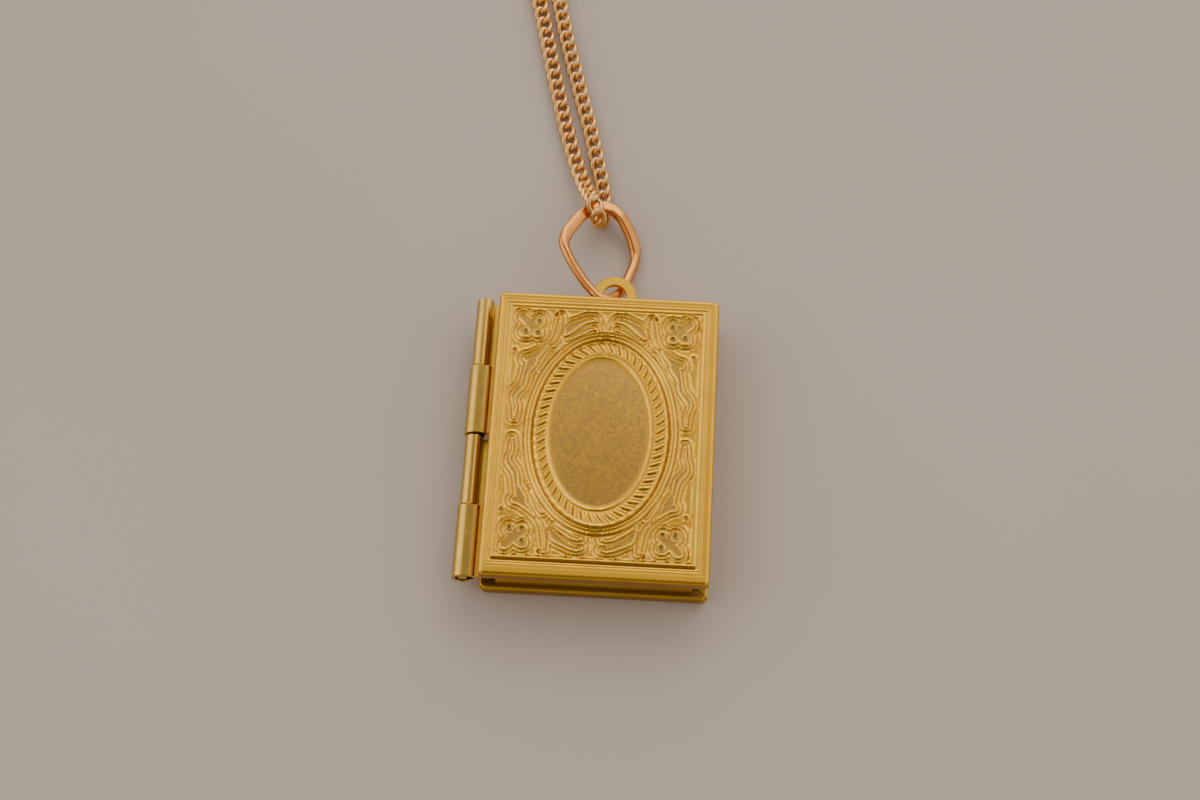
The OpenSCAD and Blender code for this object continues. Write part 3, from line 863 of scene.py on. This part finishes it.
case_brass = metal("case_brass", BRASS, BRASS_DARK, BRASS_BRIGHT, 0.34, sand_mm=0.006)
hinge_brass = metal(
    "hinge_brass", HINGE_BRASS, HINGE_DARK, BRASS_BRIGHT, 0.21, sand_mm=0.002, streak=(1, 0.03, 1))
pin_brass = metal("pin_brass", PIN_BRASS, BRASS_DARK, BRASS_BRIGHT, 0.3, sand_mm=0.002)
bail_copper = metal("bail_copper", COPPER, COPPER_DARK, COPPER_BRIGHT, 0.2, sand_mm=0.003, blotch_mm=2.5)
chain_metal = metal("chain_metal", CHAIN_GOLD, CHAIN_DARK, CHAIN_BRIGHT, 0.3, sand_mm=0.002)

# Bail: points of the wire's middle line, each (x, y, z). Places along it count those points.

BAIL_ROUTE = [
    (0.3, 14.3, 2.2), (-0.3, 13.75, 2.75), (-0.95, 13.75, 3.0), (-1.7, 14.4, 3.1), (-2.9, 15.8, 3.45),
    (-3.9, 17.35, 3.8), (-4.35, 18.5, 3.9), (-4.2, 19.5, 3.75), (-3.7, 20.6, 3.4), (-3.05, 21.85, 2.95),
    (-2.15, 22.85, 2.4), (-1.2, 23.4, 2.05), (-0.3, 23.3, 1.75), (0.5, 22.7, 1.5), (1.15, 21.7, 1.15),
    (1.7, 20.55, 0.8), (1.95, 19.5, 0.6), (1.85, 18.4, 0.65), (1.5, 17.1, 0.95), (1.05, 15.6, 1.3)]
BAIL_NORMAL = (0.45, 0.07, 0.89)
BAIL_STEPS, BAIL_SIDES = 10, 48
BAIL_HALF_W, BAIL_HALF_T = 0.44, 0.38
FLAT_WIDER, FLAT_THINNER, FLAT_SQUARER = 0.1, 0.05, 0.5
FLAT_SHARE = [(5.2, 0), (7.5, 1), (15.3, 1), (16.6, 0)]
SEAM_SIDE, SEAM_DEPTH = 8, 0.22
SEAM_SHARE = [(11.7, 0), (12.3, 1), (15.8, 1), (16.3, 0)]


def headings(p, looped):
    """Direction at each point, the nearer neighbour counting more."""
    before, after = p - np.roll(p, 1, 0), np.roll(p, -1, 0) - p
    if not looped:
        before[0], after[-1] = after[0], before[-1]
    lb, la = np.linalg.norm(before, axis=1)[:, None], np.linalg.norm(after, axis=1)[:, None]
    return (before * la / lb + after * lb / la) / (lb + la)


def curve(p, steps, looped):
    """The smooth curve through p, with the same number of steps between neighbours."""
    p = np.array(p, float)
    h = headings(p, looped)
    q, hq = np.roll(p, -1, 0), np.roll(h, -1, 0)
    reach = np.linalg.norm(q - p, axis=1)[:, None, None]
    t = (np.arange(steps) / steps)[None, :, None]
    run = (
        p[:, None] * (2 * t ** 3 - 3 * t ** 2 + 1) + h[:, None] * reach * (t ** 3 - 2 * t ** 2 + t)
        + q[:, None] * (3 * t ** 2 - 2 * t ** 3) + hq[:, None] * reach * (t ** 3 - t ** 2)
    )
    if looped:
        return run.reshape(-1, 3)
    return np.vstack([run[:-1].reshape(-1, 3), p[-1:]])


def unit(v):
    return v / np.linalg.norm(v, axis=-1, keepdims=True)


def make_bail():
    """Ring of round wire, flattened along most of its length, with a seam on one side."""
    m = curve(BAIL_ROUTE, BAIL_STEPS, True)
    run = unit(np.roll(m, -1, 0) - np.roll(m, 1, 0))
    face = unit(np.array(BAIL_NORMAL) - run * (run @ BAIL_NORMAL)[:, None])
    side = np.cross(run, face)
    a = np.radians((np.arange(BAIL_SIDES) + 0.5) * 360 / BAIL_SIDES)
    place = np.arange(len(m)) / BAIL_STEPS
    rings = []
    for i, (flat, seam) in enumerate(zip(eased(place, FLAT_SHARE), eased(place, SEAM_SHARE))):
        power = 1 - FLAT_SQUARER * flat
        c, s = np.cos(a), np.sin(a)
        c, s = np.sign(c) * np.abs(c) ** power, np.sign(s) * np.abs(s) ** power
        w, t = BAIL_HALF_W + FLAT_WIDER * flat, BAIL_HALF_T - FLAT_THINNER * flat
        s[SEAM_SIDE] -= SEAM_DEPTH / t * seam
        rings.append(m[i] + np.outer(c * w, side[i]) + np.outer(s * t, face[i]))
    shape = Shape()
    shape.loft(rings, looped=True)
    place_mesh("bail_wire", shape, bail_copper, "back", "bail")


# Chain: points of its middle line, each (x, y, z), and the sizes of a link

CHAIN_ROUTE = [
    (-18.2, 206, 0.55), (-24, 205, 0.55), (-38, 199, 0.55), (-53, 183, 0.55), (-59.86, 160, 0.55),
    (-59, 136, 0.55), (-51, 112, 0.55), (-37, 90, 0.55), (-23, 72, 0.55), (-14.5, 60, 0.55),
    (-9.8, 51, 0.55), (-8.6, 46.7, 0.55), (-5.9, 35.6, 0.55), (-4.75, 31.3, 0.55), (-3.9, 28.6, 0.65),
    (-3.1, 26.3, 1.2), (-2.45, 24.4, 2.4), (-1.95, 23.0, 3.45), (-1.6, 22.0, 3.05), (-1.4, 21.75, 2.1),
    (-1.25, 22.05, 1.2), (-1.15, 23.0, 0.85), (-1.15, 24.5, 0.65), (-1.35, 26.2, 0.55),
    (-2.1, 29.35, 0.55), (-2.6, 31.5, 0.55), (-3.8, 35.7, 0.55), (-6.65, 46.8, 0.55), (-7.4, 51, 0.55),
    (-6.5, 60, 0.55), (-1, 72, 0.55), (11, 90, 0.55), (25, 112, 0.55), (33, 136, 0.55),
    (33.86, 160, 0.55), (27, 183, 0.55), (12, 199, 0.55), (-2, 205, 0.55), (-7.8, 206, 0.55)]
CHAIN_STEPS = 24
LINK_PITCH = 1.18
LINK_HALF_L, LINK_HALF_W = 0.82, 0.58
LINK_TWIST, LINK_FLAT = math.radians(48), 0.8
LINK_STEPS = 22
LINK_SMOOTH_LIMIT = math.radians(70)
WIRE_R, WIRE_SIDES = 0.22, 6


def link_line():
    """Middle line of one twisted link, as (along, sideways, up)."""
    t = np.arange(LINK_STEPS) * 2 * np.pi / LINK_STEPS
    twist = LINK_TWIST * np.cos(t)
    return np.stack([
        LINK_HALF_L * np.cos(t),
        LINK_HALF_W * np.sin(t) * np.cos(twist),
        LINK_FLAT * LINK_HALF_W * np.sin(t) * np.sin(twist)], 1)


def tube_rings(line):
    """Rings of the wire round a closed line of points."""
    run = unit(np.roll(line, -1, 0) - np.roll(line, 1, 0))
    out = line - line.mean(0)
    out = unit(out - run * np.sum(out * run, 1)[:, None])
    up = np.cross(run, out)
    a = np.arange(WIRE_SIDES)[None, :, None] * 2 * np.pi / WIRE_SIDES
    return line[:, None] + WIRE_R * (np.cos(a) * out[:, None] + np.sin(a) * up[:, None])


def make_chain():
    """Links at an even pitch along the route, each hooked through its neighbours."""
    path = curve(CHAIN_ROUTE, CHAIN_STEPS, False)
    length = np.concatenate([[0], np.cumsum(np.linalg.norm(np.diff(path, axis=0), axis=1))])
    count = int(round(length[-1] / LINK_PITCH))
    at = np.linspace(0, length[-1], count + 1)

    def where(s):
        return np.stack([np.interp(s, length, path[:, k]) for k in range(3)], -1)

    centres = where(at)
    ahead, behind = where(at + LINK_PITCH / 2), where(at - LINK_PITCH / 2)
    run = unit(ahead - behind)
    sides, side = [], np.array([0.0, 1.0, 0.0])
    for r in run:
        side = unit(side - r * (side @ r))
        sides.append(side)
    sides = np.array(sides)
    ups = np.cross(run, sides)
    one = tube_rings(link_line())
    shape = Shape()
    for c, r, s, u in zip(centres, run, sides, ups):
        shape.loft(c + one[..., :1] * r + one[..., 1:2] * s + one[..., 2:] * u, looped=True)
    place_mesh("chain_links", shape, chain_metal, "back", "chain", LINK_SMOOTH_LIMIT)


# Floor and light

FLOOR_HALF = 6000
WORLD_TONE, WORLD_STRENGTH = (1.0, 0.93, 0.86), 0.78
# Patches of the surroundings: direction, cosines where each starts and is full, brightness inside
SURROUNDINGS = [
    ((0.02, -0.72, 0.69), 0.74, 0.93, 0.2),
    ((0.05, 0.42, 0.91), 0.93, 0.992, 0.42),
    ((0.1, 0.86, 0.50), 0.74, 0.96, 1.65),
    ((-0.8, 0.15, 0.60), 0.78, 0.97, 2.35),
    ((0.9, 0.15, 0.60), 0.78, 0.97, 1.6),
]
LIGHT_TONE = (1.0, 0.90, 0.80)


def make_floor():
    """Plain floor at z = 0, which isn't part of the object."""
    mesh = bpy.data.meshes.new("floor")
    h = FLOOR_HALF * MM
    mesh.from_pydata([(-h, -h, 0), (h, -h, 0), (h, h, 0), (-h, h, 0)], [], [(0, 1, 2, 3)])
    mesh.materials.append(floor_material())
    floor = bpy.data.objects.new("floor", mesh)
    bpy.context.scene.collection.objects.link(floor)


def make_softbox(name, azimuth, elevation, distance, size, power):
    """Area light that looks at the case; azimuth is counted from +Y towards +X."""
    data = bpy.data.lights.new(name, "AREA")
    data.shape, data.size, data.size_y = "RECTANGLE", size[0] * MM, size[1] * MM
    data.energy, data.color = power, LIGHT_TONE
    light = bpy.data.objects.new(name, data)
    bpy.context.scene.collection.objects.link(light)
    a, e = math.radians(azimuth), math.radians(elevation)
    back = Vector((math.sin(a) * math.cos(e), math.cos(a) * math.cos(e), math.sin(e)))
    light.location = back * distance * MM
    light.rotation_euler = back.to_track_quat("Z", "Y").to_euler()


def make_world():
    """Pale room all round, with its dim and bright patches multiplied together."""
    world = bpy.data.worlds.new("studio")
    world.use_nodes = True
    tree = world.node_tree
    where = tree.nodes.new("ShaderNodeTexCoord").outputs["Generated"]
    light = None
    for direction, outer, inner, level in SURROUNDINGS:
        dot = tree.nodes.new("ShaderNodeVectorMath")
        dot.operation = "DOT_PRODUCT"
        dot.inputs[1].default_value = Vector(direction).normalized()
        tree.links.new(where, dot.inputs[0])
        span = tree.nodes.new("ShaderNodeMapRange")
        span.interpolation_type = "SMOOTHSTEP"
        span.inputs["From Min"].default_value = outer
        span.inputs["From Max"].default_value = inner
        base = WORLD_STRENGTH if light is None else 1
        span.inputs["To Min"].default_value = base
        span.inputs["To Max"].default_value = level * base
        tree.links.new(dot.outputs["Value"], span.inputs["Value"])
        if light is None:
            light = span.outputs["Result"]
            continue
        product = tree.nodes.new("ShaderNodeMath")
        product.operation = "MULTIPLY"
        tree.links.new(light, product.inputs[0])
        tree.links.new(span.outputs["Result"], product.inputs[1])
        light = product.outputs["Value"]
    background = tree.nodes["Background"]
    background.inputs["Color"].default_value = (*WORLD_TONE, 1)
    tree.links.new(light, background.inputs["Strength"])
    bpy.context.scene.world = world


# Pieces


def make_back_cover():
    """Tray, first and third knuckle, and the soldered loop tab."""
    tray = make_tray(BACK_FACE_IN, closed=False)
    place_mesh("back_cover_brass", tray, case_brass, "back", "back_cover")
    knuckles = Shape()
    add_knuckles(knuckles, 0, back_section(), upward=False)
    # Painted shade on the back leaves where they lie in the gap beside the case
    paint_shade(knuckles, 0, GAP_SHADE, GAP_IN)
    place_mesh("back_knuckles", knuckles, hinge_brass, "back", None)
    tab = Shape()
    add_loop_tab(tab)
    place_mesh("loop_tab", tab, case_brass, "back", None)


def make_front_cover():
    """Tray, stamped plate, second and fourth knuckle: all that swings."""
    tray = make_tray(SLAB_IN, closed=True)
    flip_over(tray)
    place_mesh("front_cover_brass", tray, case_brass, "front", "front_cover")
    plate = Shape()
    add_stamped_slab(plate)
    place_mesh("stamped_plate", plate, case_brass, "front", None)
    knuckles = Shape()
    add_knuckles(knuckles, 1, front_section(), upward=True)
    place_mesh("front_knuckles", knuckles, hinge_brass, "front", None)


def dress(node, material):
    """Puts a finished material on a CAD node whose shape stays."""
    mesh = nodes[node].data
    mesh.materials.clear()
    mesh.materials.append(material)


make_floor()
make_world()
make_softbox("far_window", azimuth=12, elevation=38, distance=700, size=(700, 500), power=1.6)
make_back_cover()
make_front_cover()
dress("hinge_pin", pin_brass)
make_bail()
make_chain()
dress("clasp", chain_metal)
